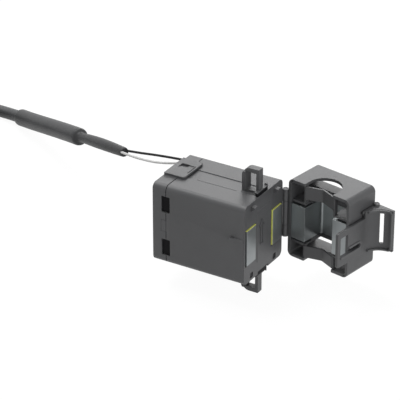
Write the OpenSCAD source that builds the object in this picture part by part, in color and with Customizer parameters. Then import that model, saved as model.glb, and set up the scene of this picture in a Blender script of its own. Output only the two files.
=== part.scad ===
// Split-core current transformer with a hinged jaw, a latch lever and two leads in a sheathed cable.
// X runs from the covered back of the housing to the jaw, Y from the latch side to the hinge side.
// The origin is the centre of the conductor window on the mating plane; Z runs along the conductor.

/* [Core] */
// Clear width between the two core legs
window_w = 17.4; // [14:0.2:26]
// Width of each core leg
leg_w = 8.7; // [7:0.1:12]
// Height of the core stack
core_h = 19.5; // [16:0.5:26]
// Depth of the window in the long half of the core
long_window_d = 34.6; // [31:0.2:42]
// Thickness of the yoke of the long half
long_yoke_t = 9; // [7:0.5:12]
// Depth of the window in the short half of the core
short_window_d = 13.6; // [12.6:0.2:18]
// Thickness of the yoke of the short half
short_yoke_t = 5; // [4.6:0.2:8]
// Air gap between the ground pole faces when the jaw is shut
mate_gap = 0.05; // [0.02:0.01:0.1]
// Chamfer on the corners of the core legs
core_chamfer = 0.6; // [0.3:0.1:1]
// Radius of the inner corners of the short half's window
core_inner_r = 1.4; // [0.6:0.1:2]

/* [Winding] */
// Wall of the bobbin around the yoke
bobbin_t = 1; // [0.8:0.1:1.4]
// Thickness of each bobbin flange
flange_t = 1.1; // [0.8:0.1:1.5]
// Depth of wire on the bobbin
winding_build = 6.6; // [4:0.2:9]
// How far the flanges stand above the wire
flange_over = 0.6; // [0.4:0.1:1]
// Thickness of the tape over the wire
wrap_t = 0.3; // [0.2:0.05:0.5]
// Thickness of the yellow film on the core legs
liner_t = 0.35; // [0.25:0.05:0.5]
// Length of leg that the yellow film covers
liner_len = 8; // [5:0.5:14]
// How far the pole faces stand out of the film
pole_bare = 0.25; // [0.1:0.05:0.5]
// Thickness of the foam pad behind the winding
pad_t = 1; // [0.8:0.1:3]

/* [Housing] */
// Wall of the housing and the cover
wall = 1.4; // [1.2:0.1:2]
// Radius on the long outer edges
edge_r = 3; // [2.4:0.2:4]
// How far the pole faces stand out of the housing
pole_proud = 0.7; // [0.5:0.1:1.2]
// Room above the bobbin for the terminal board and the leads
head_room = 4.15; // [3.8:0.05:6]
// Room under the bobbin
floor_gap = 1.15; // [0.6:0.05:2]
// Length of the cover's rim inside the housing
rim_len = 2.4; // [1.8:0.2:3.6]
// Thickness of the cover's rim
rim_t = 0.9; // [0.7:0.1:1.2]
// Width and depth of the shadow line at the seam
seam_groove = 0.35; // [0.2:0.05:0.6]
// Length of each snap window, half of it in the cover
snap_len = 4.9; // [4:0.1:6]
// Height of each snap window
snap_h = 9; // [7:0.5:11]
// Distance between the middles of the two snap windows on a side
snap_pitch = 24.4; // [22:0.2:27]
// Height of the locating tongue between the snap windows
tongue_h = 6.2; // [4:0.2:8]
// How far the tongue reaches into the cover
tongue_len = 2.6; // [1.5:0.1:3.2]
// Width of the plate on top of the cover
plate_w = 19; // [12:0.5:22]
// Length of the plate on top of the cover
plate_len = 12; // [9:0.5:16]
// Thickness of the plate on top of the cover
plate_t = 1.3; // [1:0.1:2]
// How far the plate sits to the hinge side of the middle
plate_shift = 1.2; // [0:0.1:3]
// Width of the ramped finger recess in the plate
ramp_w = 4.7; // [3:0.1:7]
// Length of the ramped finger recess
ramp_len = 4.7; // [3:0.1:6]
// Depth of the deep side of the ramped recess
ramp_d = 1.2; // [0.6:0.1:1.6]
// Width of the shallow channel along the top
channel_w = 9.6; // [7:0.2:14]
// Depth of the shallow channel along the top
channel_d = 0.35; // [0.2:0.05:0.5]
// Side of the square locating pegs on the front
peg_w = 3; // [2:0.2:3.6]
// Distance of the pegs from the middle of the width
peg_y = 11.5; // [10:0.5:13]
// How far the pegs stand out of the housing
peg_out = 1.1; // [0.6:0.1:1.4]

/* [Tie lugs] */
// Height of each lug above or below the body
lug_h = 13; // [10:0.5:18]
// Length of each lug along the body
lug_len = 9.2; // [8.6:0.2:13]
// Thickness of each lug
lug_t = 4; // [3:0.2:6]
// Width over the flange on the rear edge of each lug
lug_flange_w = 6.4; // [5:0.2:8]
// Length of the flange along the body
lug_flange_len = 1.7; // [1.2:0.1:2.4]
// Length of the slot for a cable tie
tie_slot_len = 5.8; // [4.2:0.2:7]
// Bar left above the slot at the lug's end
tie_bar = 2.4; // [1.6:0.2:4]
// Radius of the rear corner of each lug
lug_r = 4; // [2:0.5:5]
// Distance of the lug from the housing's front face
lug_set = 1.7; // [1.4:0.1:3]
// Length of the pocket slot in front of each lug, across the body
pocket_w = 10.4; // [7:0.2:14]
// Width of the pocket slot in front of each lug
pocket_len = 1.2; // [0.6:0.1:1.4]

/* [Hinge] */
// Diameter of the hinge barrel
barrel_d = 3.3; // [3:0.1:4]
// Diameter of the steel hinge pin
pin_d = 1.5; // [1.2:0.1:2]
// Running clearance of the pin on radius
pin_fit = 0.04; // [0.02:0.01:0.08]
// Distance of the hinge axis outside the body
hinge_out = 2; // [1.9:0.1:3]
// Length of the whole hinge barrel
barrel_len = 27; // [20:1:36]
// Height of the middle of the hinge barrel
barrel_z = 1.8; // [0:0.1:3]
// Share of the barrel that belongs to the jaw
jaw_knuckle = 0.5; // [0.3:0.05:0.6]
// Gap between neighbouring knuckles
knuckle_gap = 0.12; // [0.08:0.02:0.3]
// Angle at which the jaw stands open at rest
jaw_open = 80; // [0:5:110]

/* [Jaw] */
// Thickness of the jaw's top and bottom plates
jaw_plate = 1.65; // [1.2:0.05:2.2]
// Depth of the conductor mouth in the plates
mouth_d = 13.4; // [11:0.2:14]
// How far the jaw's rim stands past the pole faces
jaw_rim = 0.3; // [0.1:0.1:0.5]
// Thickness of the carrier's plates above and below the core
carrier_t = 1.1; // [0.8:0.1:2]
// Space between the core and the carrier's plates
carrier_room = 1.2; // [0.6:0.1:2]
// Depth of that space before the pads that hold the core
carrier_pad_x = 6; // [4:0.5:9]
// Back wall of the core carrier
carrier_back = 1.5; // [0.8:0.1:2]
// How far the walls of the jaw reach past the back of the core carrier
jaw_lip = 0.2; // [0.1:0.1:1]
// Height of the saddle on the carrier, over the yoke of the short core
saddle_h = 3.2; // [1:0.2:6]
// Space for the leaf spring behind the core
spring_gap = 0.7; // [0.6:0.1:1.4]
// Thickness of the leaf spring
spring_t = 0.3; // [0.2:0.05:0.4]
// Half width of the middle of the leaf spring, which bears on the core
spring_mid = 4; // [2:0.5:6]
// Half width of the whole leaf spring
spring_half = 14; // [10:0.5:15]
// Length of each foot of the leaf spring
spring_foot = 3; // [2:0.5:5]
// Height of each retaining band
band_h = 7.2; // [5:0.2:7.6]
// Thickness of each retaining band
band_t = 1; // [0.7:0.1:1.4]
// Slope of the two arms of each band
band_slope = 18; // [12:1:24]
// Radius of the nose between the two arms
band_nose_r = 2; // [1:0.5:4]
// Depth of the posts at the ends of each band
band_post = 2.3; // [1.6:0.1:3]

/* [Latch] */
// Thickness of the latch lever
lever_t = 1.5; // [1.2:0.1:2]
// Gap between the lever and the side of the jaw
lever_gap = 0.6; // [0.5:0.1:1]
// How far the lever reaches past the mating plane
lever_reach = 11.4; // [10.8:0.1:13]
// Depth of the lever's front bar
lever_bar = 2.3; // [1.6:0.1:2.6]
// Length of the lever's window
lever_window_len = 5.9; // [5:0.1:7]
// Height of the lever's window
lever_window_h = 10.8; // [8:0.2:12]
// Height of the slot that runs back from the window
lever_slot_h = 2.2; // [1.6:0.2:3]
// Distance from the mating plane to the end of that slot
lever_slot_end = 6.8; // [4:0.2:8]
// Top edge of the lever above the middle of the body
lever_up = 8.7; // [7:0.1:10]
// Bottom edge of the lever below the middle of the body
lever_down = 10.6; // [9:0.1:12]
// Top edge of the finger tab above the middle of the body
tab_up = 12.6; // [10:0.1:14]
// Distance from the mating plane to where the finger tab curves away
tab_x = 9.5; // [9:0.5:10.5]
// Radius of the curved finger tab
tab_r = 11; // [8:0.5:12]
// Height of the slot in the finger tab
tab_slot_h = 17; // [12:0.5:19]
// Width of the slot in the finger tab
tab_slot_w = 2; // [1.4:0.2:3]
// Thickness of the webs above and below the pivot
web_t = 1.5; // [1.2:0.1:2]
// Diameter of the latch pin
latch_pin_d = 1.5; // [1.2:0.1:1.8]
// Distance of the latch pin outside the jaw
latch_pin_out = 1.8; // [1.7:0.1:2.2]
// Diameter of the knuckle and the boss around the latch pin
knuckle_d = 3; // [2.6:0.1:3.2]
// Length of the catch on the housing
catch_len = 7.8; // [7:0.2:8]
// Height of the catch along the conductor
catch_h = 2; // [1.4:0.1:3]
// How far the catch stands out of the housing
catch_out = 1.6; // [1.2:0.1:1.8]
// Distance from the catch to the top of the lever's window
catch_play = 1.1; // [0.4:0.1:2]

/* [Leads] */
// Diameter of each insulated lead wire
wire_d = 1.3; // [1:0.1:1.6]
// Distance between the two lead wires at the housing
wire_pitch = 3.2; // [2.4:0.1:4]
// Distance of the middle of the lead wires from the hinge side of the body
wire_inset = 6.2; // [6:0.1:10]
// Diameter of the thin end of the shrink sleeve
sleeve_thin_d = 5.5; // [4.8:0.1:6]
// Diameter of the thick end of the shrink sleeve
sleeve_thick_d = 9.2; // [8.4:0.1:9.6]
// Diameter of the sheathed cable
cable_d = 7; // [6:0.1:7.4]
// Radius of the inner turns of the coiled cable
coil_inner_r = 31.5; // [28:0.5:40]
// Thickness of the tie around the coil
tie_t = 0.9; // [0.6:0.1:1.4]
// Width of the tie around the coil
tie_w = 4.8; // [3:0.2:7]
// Diameter of the crimped sleeve on each wire end
ferrule_d = 2; // [1.6:0.1:2.4]

/* [Hidden] */
$fn = 64;
e = 0.01;
fit = 0.1;
side_fit = 0.2;
clear = 0.3;

// Widths and heights worked out from the core outwards
core_w = window_w + 2 * leg_w;
body_w = core_w + 2 * (liner_t + fit + wall);
bobbin_over = bobbin_t + winding_build + flange_over;
body_h = core_h + 2 * bobbin_over + head_room + floor_gap + 2 * wall;
core_z = (floor_gap - head_room) / 2;
core_top = core_z + core_h / 2;
core_bottom = core_z - core_h / 2;
inner_w = body_w - 2 * wall;
inner_h = body_h - 2 * wall;
leg_y = (window_w + leg_w) / 2;

// Places along the body
face_x = -pole_proud;
yoke_front_x = -long_window_d;
yoke_back_x = yoke_front_x - long_yoke_t;
seam_x = yoke_back_x - clear - rim_len;
winding_back_x = yoke_back_x - bobbin_t - winding_build - wrap_t;
cover_in_x = winding_back_x - pad_t;
back_x = cover_in_x - wall;
yoke_x = (yoke_front_x + yoke_back_x) / 2;
hub_l = window_w - 2 * side_fit;
wire_space_l = hub_l - 2 * flange_t;
board_z = core_top + bobbin_over;
board_t = 1;
wire_z = board_z + board_t + wire_d / 2 + fit;
tongue_z = -0.5;
exit_z = wire_z + 1.2;
wire_y = body_w / 2 - wire_inset;
post_x = yoke_back_x + 4;

// Places in the jaw, given with the jaw shut
jaw_depth = short_window_d + short_yoke_t + spring_gap + carrier_back + jaw_lip;
carrier_rear = jaw_depth - jaw_lip;
jaw_wall = body_w / 2 - core_w / 2 - side_fit;
hinge_y = body_w / 2 + hinge_out;
mouth_w = window_w + 0.2;
core_back_x = short_window_d + short_yoke_t;
carrier_top = core_top + carrier_room + carrier_t;
carrier_bottom = core_bottom - carrier_room - carrier_t;
lever_y = -body_w / 2 - lever_gap - lever_t / 2;
lever_in_y = lever_y + lever_t / 2;
latch_pin_x = jaw_depth - 1;
latch_pin_y = -body_w / 2 - latch_pin_out;
floor_z = -body_h / 2 - lug_h;

// Way of the leads from the cover to the coil, and of the loose end
cable_z = floor_z + cable_d / 2;
black_way = [[post_x - 6, wire_y + wire_pitch / 2, wire_z], [back_x, wire_y + wire_pitch / 2, exit_z],
    [-60, 14.6, 19.8], [-66, 14.8, 19.3], [-75, 16, 17.2], [-86, 19.2, 14.4], [-99.4, 25.4, 9.8]];
white_way = [[post_x - 6, wire_y - wire_pitch / 2, wire_z], [back_x, wire_y - wire_pitch / 2, exit_z],
    [-59, 11.6, 18.2], [-65, 11.8, 16.6], [-73.5, 13.2, 14.4], [-86, 16.6, 12], [-100.6, 22.6, 9.2]];
sleeve_way = [[-100, 24, 9.5], [-114, 31, 5.5], [-128, 39, 1.2], [-144, 48.5, -4.2],
    [-150, 52.4, -6.3], [-166, 63, -12.2], [-183, 74.2, -18.6], [-200, 85.4, -25],
    [-214, 93.6, -29.4]];
sleeve_r = [for (r = [0, 0, 0, 0.08, 1, 1, 1, 1, 1])
    (sleeve_thin_d + r * (sleeve_thick_d - sleeve_thin_d)) / 2];
cable_way = [[-214, 93.6, -29.4], [-226, 97.2, cable_z + 0.3], [-244, 98, cable_z],
    [-262, 98, cable_z + 0.3]];
coil_outer_r = coil_inner_r + cable_d;
coil_x = -266;
coil_y = cable_way[3][1] - coil_outer_r;
coil_z = floor_z + tie_t + cable_d;
tail_top = coil_z + cable_d / 2;
tail_y = coil_y - coil_outer_r;
tail_way = [[coil_x + 2, tail_y, tail_top], [coil_x + 12, tail_y, tail_top - 0.4],
    [coil_x + 22, tail_y - 0.3, tail_top - 3.6], [coil_x + 32, tail_y - 0.8, cable_z + 0.8],
    [coil_x + 44, tail_y - 1.5, cable_z]];
tail_end = tail_way[4];
wire_end_len = 24;
ferrule_len = 7;

// Smooth line through a list of points, and the rings of a tube along it
function unit(v) = v / norm(v);
function at(p, i) = p[max(0, min(len(p) - 1, i))];
function spline_point(a, b, c, d, t) =
    0.5 * (2 * b + (c - a) * t + (2 * a - 5 * b + 4 * c - d) * t * t
        + (3 * b - a - 3 * c + d) * t * t * t);
function smooth(p, n) = concat([for (i = [0:len(p) - 2], k = [0:n - 1])
    spline_point(at(p, i - 1), p[i], p[i + 1], at(p, i + 2), k / n)], [p[len(p) - 1]]);
function ring(c, dir, r, sides) =
    let (u = unit(cross([0, 0, 1], dir)), v = cross(dir, u))
        [for (k = [0:sides - 1]) c + r * (cos(360 * k / sides) * u + sin(360 * k / sides) * v)];
module tube(p, r, sides) {
    n = len(p);
    rings = [for (i = [0:n - 1]) ring(p[i], unit(at(p, i + 1) - at(p, i - 1)), r[i], sides)];
    polyhedron([for (q = rings) for (v = q) v], concat(
        [[for (k = [0:sides - 1]) k]],
        [for (i = [0:n - 2], k = [0:sides - 1])
            [i * sides + k, (i + 1) * sides + k,
                (i + 1) * sides + (k + 1) % sides, i * sides + (k + 1) % sides]],
        [[for (k = [0:sides - 1]) n * sides - 1 - k]]), convexity = 6);
}
module even_tube(p, d, sides) tube(p, [for (q = p) d / 2], sides);

// Plain helpers
module block(x0, x1, y0, y1, z0, z1)
    translate([x0, y0, z0]) cube([x1 - x0, y1 - y0, z1 - z0]);
module along_x(x0, x1)
    translate([x0, 0, 0]) rotate([90, 0, 90]) linear_extrude(x1 - x0) children();
module along_y(y0, y1)
    translate([0, y1, 0]) rotate([90, 0, 0]) linear_extrude(y1 - y0) children();
module along_z(z0, z1)
    translate([0, 0, z0]) linear_extrude(z1 - z0) children();
module rounded(w, h, r) {
    square([w - 2 * r, h], center = true);
    square([w, h - 2 * r], center = true);
    for (sx = [-1, 1], sy = [-1, 1])
        translate([sx * (w / 2 - r), sy * (h / 2 - r)]) circle(r);
}
module both_sides() {
    children();
    mirror([0, 1, 0]) children();
}
module top_and_bottom() {
    children();
    mirror([0, 0, 1]) children();
}
// Turns what is drawn with the jaw shut to where the open jaw stands
module on_jaw()
    translate([0, hinge_y, 0]) rotate([0, 0, jaw_open]) translate([0, -hinge_y, 0]) children();

// Housing
module lug_outline()
    difference() {
        translate([face_x - lug_set - lug_len, 0]) union() {
            square([lug_len, body_h / 2 + lug_h - lug_r]);
            translate([lug_r, 0]) square([lug_len - lug_r, body_h / 2 + lug_h]);
            translate([lug_r, body_h / 2 + lug_h - lug_r]) circle(lug_r);
        }
        translate([face_x - lug_set - lug_len - e, 0])
            square([lug_len + 2 * e, body_h / 2 - wall / 2]);
    }
module tie_lug() {
    front_x = face_x - lug_set;
    slot_x0 = front_x - lug_len + lug_flange_len;
    difference() {
        union() {
            along_y(-lug_t / 2, lug_t / 2) lug_outline();
            along_y(-lug_flange_w / 2, lug_flange_w / 2) intersection() {
                lug_outline();
                translate([front_x - lug_len, 0])
                    square([lug_flange_len, body_h / 2 + lug_h - lug_r / 2]);
            }
        }
        block(slot_x0, slot_x0 + tie_slot_len, -lug_flange_w, lug_flange_w,
            body_h / 2 + 0.8, body_h / 2 + lug_h - tie_bar);
    }
}
module catch_wedge() {
    y0 = -body_w / 2;
    x0 = face_x - 0.2 - catch_len;
    z1 = lever_window_h / 2 - catch_play;
    ramp = lever_gap - 0.15;
    along_z(z1 - catch_h, z1)
        polygon([[x0, y0 + wall / 2], [x0, y0 - catch_out], [x0 + 1.2, y0 - catch_out],
            [x0 + 2.6, y0 - 0.5 * catch_out - 0.1], [x0 + 3.6, y0 - ramp - 0.15],
            [x0 + 5, y0 - ramp], [x0 + catch_len, y0 - 0.15], [x0 + catch_len, y0 + wall / 2]]);
}
module hinge_leaf(z0, z1) {
    translate([0, hinge_y, z0]) cylinder(h = z1 - z0, d = barrel_d);
    block(-2.6, -0.9, body_w / 2 - wall / 2, hinge_y, z0, z1);
    block(-1.7, -0.2, hinge_y - 0.9, hinge_y, z0, z1);
}
module body_knuckles() {
    half = barrel_len / 2;
    jaw_half = half * jaw_knuckle;
    hinge_leaf(barrel_z - half, barrel_z - jaw_half - knuckle_gap / 2);
    hinge_leaf(barrel_z + jaw_half + knuckle_gap / 2, barrel_z + half);
}
module pin_bore()
    translate([0, hinge_y, barrel_z - barrel_len / 2 + 1])
        cylinder(h = barrel_len, d = pin_d + 2 * pin_fit);
// A square peg that narrows towards its tip
module peg() {
    z1 = body_h / 2 - jaw_plate - fit;
    tip = peg_w / 2 - 0.9;
    intersection() {
        along_y(0, body_w / 2)
            polygon([[face_x - wall / 2, z1 - peg_w], [face_x, z1 - peg_w],
                [face_x + peg_out, z1 - peg_w / 2 - tip], [face_x + peg_out, z1 - peg_w / 2 + tip],
                [face_x, z1], [face_x - wall / 2, z1]]);
        along_z(0, body_h)
            polygon([[face_x - wall / 2, peg_y - peg_w / 2], [face_x, peg_y - peg_w / 2],
                [face_x + peg_out, peg_y - tip], [face_x + peg_out, peg_y + tip],
                [face_x, peg_y + peg_w / 2], [face_x - wall / 2, peg_y + peg_w / 2]]);
    }
}
module snap_notch(reach)
    for (s = [-1, 1])
        block(-reach, reach, -body_w / 2 - e, -inner_w / 2 + e,
            tongue_z + s * snap_pitch / 2 - snap_h / 2,
            tongue_z + s * snap_pitch / 2 + snap_h / 2);
module main_housing() color("#4a4b4e")
    difference() {
        union() {
            along_x(seam_x + seam_groove, face_x) rounded(body_w, body_h, edge_r);
            along_x(seam_x, seam_x + seam_groove)
                rounded(body_w - 2 * seam_groove, body_h - 2 * seam_groove, edge_r - seam_groove);
            both_sides() block(seam_x - tongue_len, seam_x + e, -body_w / 2, -inner_w / 2,
                tongue_z - tongue_h / 2, tongue_z + tongue_h / 2);
            along_x(face_x, face_x + 0.25) square([window_w - 5, body_h - 15], center = true);
            tie_lug();
            mirror([0, 0, 1]) tie_lug();
            catch_wedge();
            body_knuckles();
            both_sides() peg();
        }
        along_x(seam_x - e, face_x - wall)
            rounded(inner_w, inner_h, max(edge_r - wall, 0.5));
        both_sides() block(face_x - wall - e, face_x + 1, leg_y - leg_w / 2 - liner_t - clear,
            inner_w / 2, core_bottom - liner_t - clear, core_top + liner_t + clear);
        both_sides() block(face_x - 1, face_x + e, peg_y - peg_w / 2, peg_y + peg_w / 2,
            -body_h / 2 + 1.4, -body_h / 2 + 1.4 + peg_w);
        top_and_bottom() block(face_x - lug_set, face_x - lug_set + pocket_len,
            -pocket_w / 2, pocket_w / 2, inner_h / 2 - e, body_h / 2 + e);
        for (s = [-1, 1]) block(seam_x - e, face_x - lug_set + e,
            min(s * channel_w / 2, s * (lug_flange_w / 2 + 0.4)),
            max(s * channel_w / 2, s * (lug_flange_w / 2 + 0.4)),
            body_h / 2 - channel_d, body_h / 2 + e);
        block(seam_x - e, face_x - lug_set - lug_len - 0.4, -channel_w / 2, channel_w / 2,
            body_h / 2 - channel_d, body_h / 2 + e);
        both_sides() translate([seam_x, 0, 0]) snap_notch(snap_len / 2);
        pin_bore();
    }

// Cover
module cover_plate() {
    r = 1.5;
    y0 = plate_shift - plate_w / 2;
    y1 = plate_shift + plate_w / 2;
    translate([back_x, y0]) square([plate_len - r, plate_w]);
    translate([back_x, y0 + r]) square([plate_len, plate_w - 2 * r]);
    for (y = [y0 + r, y1 - r]) translate([back_x + plate_len - r, y]) circle(r);
}
module ramp_recess() {
    z1 = body_h / 2 + plate_t;
    y0 = plate_shift - 0.9;
    along_x(seam_x - ramp_len, seam_x)
        polygon([[y0, z1 + e], [y0 + ramp_w, z1 - ramp_d], [y0 + ramp_w, z1 + e]]);
}
module rear_cover() color("#4a4b4e")
    difference() {
        union() {
            along_x(back_x, seam_x) rounded(body_w, body_h, edge_r);
            along_x(seam_x - e, seam_x + rim_len)
                rounded(inner_w - 2 * fit, inner_h - 2 * fit, max(edge_r - wall - fit, 0.4));
            along_z(body_h / 2 + 0.15, body_h / 2 + plate_t) cover_plate();
            along_z(body_h / 2 - wall / 2, body_h / 2 + 0.2) intersection() {
                cover_plate();
                translate([back_x, -body_w / 2]) square([seam_x - back_x, body_w]);
            }
        }
        along_x(cover_in_x, seam_x - 2) rounded(inner_w, inner_h, edge_r - wall);
        along_x(cover_in_x, seam_x + rim_len + 1)
            rounded(inner_w - 2 * fit - 2 * rim_t, inner_h - 2 * fit - 2 * rim_t, 0.6);
        both_sides() difference() {
            translate([seam_x, 0, 0]) snap_notch(snap_len / 2);
            block(seam_x - snap_len, seam_x + snap_len, -inner_w / 2 + fit, 0, -body_h, body_h);
        }
        both_sides() block(seam_x - tongue_len - fit, seam_x + e, -body_w / 2 - e,
            -inner_w / 2 + e, tongue_z - tongue_h / 2 - fit, tongue_z + tongue_h / 2 + fit);
        ramp_recess();
        along_x(back_x - e, cover_in_x + e) translate([wire_y, exit_z])
            rounded(wire_pitch + wire_d + 0.8, wire_d + 0.8, 0.8);
    }

// Core, tapes and winding
module core_outline(depth, yoke)
    difference() {
        translate([0, -core_w / 2]) square([depth + yoke, core_w]);
        translate([-e, -window_w / 2]) square([depth + e, window_w]);
        for (s = [-1, 1]) translate([depth + yoke, s * core_w / 2])
            rotate(45) square(core_chamfer * sqrt(8), center = true);
    }
module corner_fillet(depth)
    difference() {
        translate([depth - core_inner_r, window_w / 2 - core_inner_r]) square(core_inner_r + e);
        translate([depth - core_inner_r, window_w / 2 - core_inner_r]) circle(core_inner_r);
    }
module long_core_half() color("#9a9b9c")
    translate([-mate_gap / 2, 0, core_bottom]) mirror([1, 0, 0])
        linear_extrude(core_h) core_outline(long_window_d - mate_gap / 2, long_yoke_t);
// A folded film on the inner, upper and lower side of a leg
module leg_liner() color("#c9c243")
    along_x(-pole_bare - liner_len, -pole_bare) translate([leg_y, core_z]) difference() {
        translate([-liner_t / 2, 0])
            square([leg_w + liner_t, core_h + 2 * liner_t], center = true);
        translate([liner_t / 2, 0]) square([leg_w + liner_t, core_h], center = true);
    }
module hinge_leg_liner() leg_liner();
module latch_leg_liner() mirror([0, 1, 0]) leg_liner();
module yoke_ring(y0, y1, outer, inner, r)
    along_y(y0, y1) translate([yoke_x, core_z]) difference() {
        rounded(long_yoke_t + 2 * outer, core_h + 2 * outer, r);
        square([long_yoke_t + 2 * inner, core_h + 2 * inner], center = true);
    }
module bobbin() color("#2b2c2e") {
    yoke_ring(-hub_l / 2, hub_l / 2, bobbin_t, 0.05, 0.4);
    yoke_ring(-hub_l / 2, -wire_space_l / 2, bobbin_over, bobbin_t - e, 2);
    yoke_ring(wire_space_l / 2, hub_l / 2, bobbin_over, bobbin_t - e, 2);
}
module winding() color("#a8562a")
    yoke_ring(-wire_space_l / 2, wire_space_l / 2, bobbin_t + winding_build - wrap_t, bobbin_t, 3);
module winding_wrap() color("#c9c243")
    along_y(-wire_space_l / 2, wire_space_l / 2) translate([yoke_x, core_z]) difference() {
        outer = bobbin_t + winding_build;
        rounded(long_yoke_t + 2 * outer, core_h + 2 * outer, 3 + wrap_t);
        rounded(long_yoke_t + 2 * (outer - wrap_t), core_h + 2 * (outer - wrap_t), 3);
    }
module foam_pad() color("#222222")
    block(cover_in_x, cover_in_x + pad_t + wrap_t - flange_over, -wire_space_l / 2,
        wire_space_l / 2, core_z - core_h / 2, core_z + core_h / 2);
module terminal_board() color("#2f6a3a")
    block(seam_x - 1.5, yoke_front_x + 3, -hub_l / 2, wire_y + wire_pitch / 2 + 1.5,
        board_z, board_z + board_t);
module terminal_posts() color("#b9b9b4")
    for (s = [-1, 1])
        translate([post_x, wire_y + s * wire_pitch / 2, wire_z])
            block(0, 1, -0.5, 0.5, -wire_d / 2, wire_d / 2);
module wire_clamp() color("#2b2c2e")
    difference() {
        block(post_x - 3.6, post_x - 1.2, wire_y - wire_pitch, wire_y + wire_pitch,
            board_z + board_t, board_z + board_t + wire_d + 0.9);
        for (s = [-1, 1]) translate([post_x - 4, wire_y + s * wire_pitch / 2, wire_z]) {
            rotate([0, 90, 0]) cylinder(h = 4, d = wire_d + 2 * fit);
            block(0, 4, -wire_d / 2 - fit, wire_d / 2 + fit, -wire_d, 0);
        }
    }
module hinge_pin() color("#b9bcc0")
    translate([0, hinge_y, barrel_z - barrel_len / 2 + 1])
        cylinder(h = barrel_len - 1.2, d = pin_d);

// Jaw
module mouth()
    along_z(-body_h, body_h) union() {
        translate([-5, -mouth_w / 2]) square([5 + mouth_d - mouth_w / 2, mouth_w]);
        translate([mouth_d - mouth_w / 2, 0]) circle(d = mouth_w);
    }
module jaw_leaf() {
    z0 = barrel_z - barrel_len / 2 * jaw_knuckle + knuckle_gap / 2;
    z1 = barrel_z + barrel_len / 2 * jaw_knuckle - knuckle_gap / 2;
    translate([0, hinge_y, z0]) cylinder(h = z1 - z0, d = barrel_d);
    block(0.9, 2.6, body_w / 2 - jaw_wall / 2, hinge_y, z0, z1);
    block(0.2, 1.7, hinge_y - 0.9, hinge_y, z0, z1);
}
module latch_knuckle() {
    z0 = web_t - lever_down + clear;
    z1 = tab_up - web_t - clear;
    translate([latch_pin_x, latch_pin_y, z0]) cylinder(h = z1 - z0, d = knuckle_d);
    block(latch_pin_x - 1, latch_pin_x + 1, latch_pin_y, -body_w / 2 + jaw_wall / 2, z0, z1);
}
module latch_pin_bore(r)
    translate([latch_pin_x, latch_pin_y, -body_h]) cylinder(h = 2 * body_h, r = r);
module jaw_shell() color("#4a4b4e") on_jaw()
    difference() {
        union() {
            difference() {
                along_x(-jaw_rim, jaw_depth) rounded(body_w, body_h, edge_r);
                along_x(-jaw_rim - e, jaw_depth + e)
                    rounded(body_w - 2 * jaw_wall, body_h - 2 * jaw_plate, edge_r - jaw_wall);
                mouth();
            }
            jaw_leaf();
            latch_knuckle();
        }
        pin_bore();
        latch_pin_bore(latch_pin_d / 2 + 0.02);
    }
module core_carrier() color("#3a3b3d") on_jaw()
    difference() {
        union() {
            block(0.6, carrier_rear, -body_w / 2 + jaw_wall, body_w / 2 - jaw_wall,
                carrier_bottom, carrier_top);
            block(short_window_d + 0.6, carrier_rear, -body_w / 2 + jaw_wall, body_w / 2 - jaw_wall,
                core_top, carrier_top + saddle_h);
        }
        block(0, carrier_pad_x, -body_w, body_w, core_bottom - carrier_room,
            core_top + carrier_room);
        block(0, core_back_x + spring_gap, -body_w, body_w, core_bottom - fit, core_top + fit);
        along_z(-body_h, body_h) translate([-e, -window_w / 2])
            square([short_window_d + e, window_w]);
    }
module short_core_half() color("#9a9b9c") on_jaw()
    translate([mate_gap / 2, 0, core_bottom]) linear_extrude(core_h) {
        core_outline(short_window_d - mate_gap / 2, short_yoke_t);
        for (s = [0, 1]) mirror([0, s]) corner_fillet(short_window_d - mate_gap / 2);
    }
module core_spring() color("#b9bcc0") on_jaw()
    along_z(core_z - core_h / 2 + 1, core_z + core_h / 2 - 1) {
        x0 = core_back_x;
        x1 = core_back_x + spring_gap;
        for (s = [0, 1]) mirror([0, s])
            polygon([[x0, -e], [x0, spring_mid], [x1 - spring_t, spring_half - spring_foot],
                [x1 - spring_t, spring_half], [x1, spring_half], [x1, spring_half - spring_foot],
                [x0 + spring_t, spring_mid], [x0 + spring_t, -e]]);
    }
// Outline of a blunt V that opens towards the mating plane
module vee(r, half) {
    nose = [r * cos(band_slope), r * sin(band_slope)];
    end_x = nose[0] - (half - nose[1]) * tan(band_slope);
    circle(r);
    for (s = [0, 1]) mirror([0, s])
        polygon([[-2 * half, -e], [0, -e], nose, [end_x, half], [-2 * half, half]]);
}
module retaining_band(z0, h) color("#3a3b3d") on_jaw() {
    half = mouth_w / 2 + 0.5;
    x0 = 1.25;
    z1 = body_h / 2 - jaw_plate - fit;
    along_z(z1 - h, z1) translate([x0, 0]) difference() {
        vee(band_nose_r + band_t, half);
        vee(band_nose_r, half + 1);
    }
    both_sides() block(0.4, 0.4 + band_post, mouth_w / 2, mouth_w / 2 + band_t, z0, z1);
}
module upper_retaining_band() retaining_band(carrier_top, band_h);
module lower_retaining_band() {
    room = body_h / 2 - jaw_plate - fit + carrier_bottom;
    mirror([0, 0, 1]) retaining_band(-carrier_bottom, min(band_h, room - fit));
}
module latch_pin() color("#b9bcc0") on_jaw()
    translate([latch_pin_x, latch_pin_y, 0.2 - lever_down])
        cylinder(h = lever_down + tab_up + 0.6, d = latch_pin_d);

// Latch lever
module lever_plan() {
    translate([-lever_reach, lever_y - lever_t / 2]) square([lever_reach + tab_x + e, lever_t]);
    translate([tab_x, lever_y - tab_r]) intersection() {
        difference() {
            circle(tab_r + lever_t / 2, $fn = 128);
            circle(tab_r - lever_t / 2, $fn = 128);
        }
        square(2 * tab_r);
    }
}
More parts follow.
